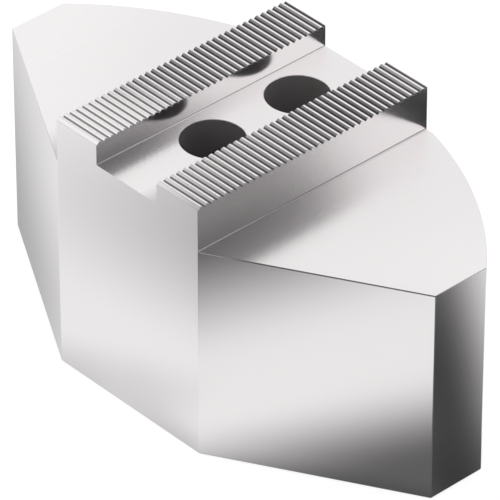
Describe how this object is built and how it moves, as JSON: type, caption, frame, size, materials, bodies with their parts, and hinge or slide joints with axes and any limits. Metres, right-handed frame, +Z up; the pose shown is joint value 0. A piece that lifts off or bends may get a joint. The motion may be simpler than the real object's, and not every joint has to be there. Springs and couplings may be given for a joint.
{
  "type": "machinable soft jaw",
  "caption": "Pointed machinable soft jaw for a power chuck: metal block with slanted front faces, arc back, and a raised rib with serrated rails, tongue slot and counterbored screw holes",
  "frame": {"origin": "on the centre plane, halfway along the jaw from nose to rear flat, in the flat bottom face", "axes": "+X across the wings, +Y from the nose to the back, +Z up through the rib to the serrated face"},
  "size_m": [0.12, 0.0594, 0.0577],
  "materials": {
    "steel": "fine ground, bright satin"
  },
  "bodies": {
    "root": {"soft_jaw": "steel"}
  },
  "joints": []
}
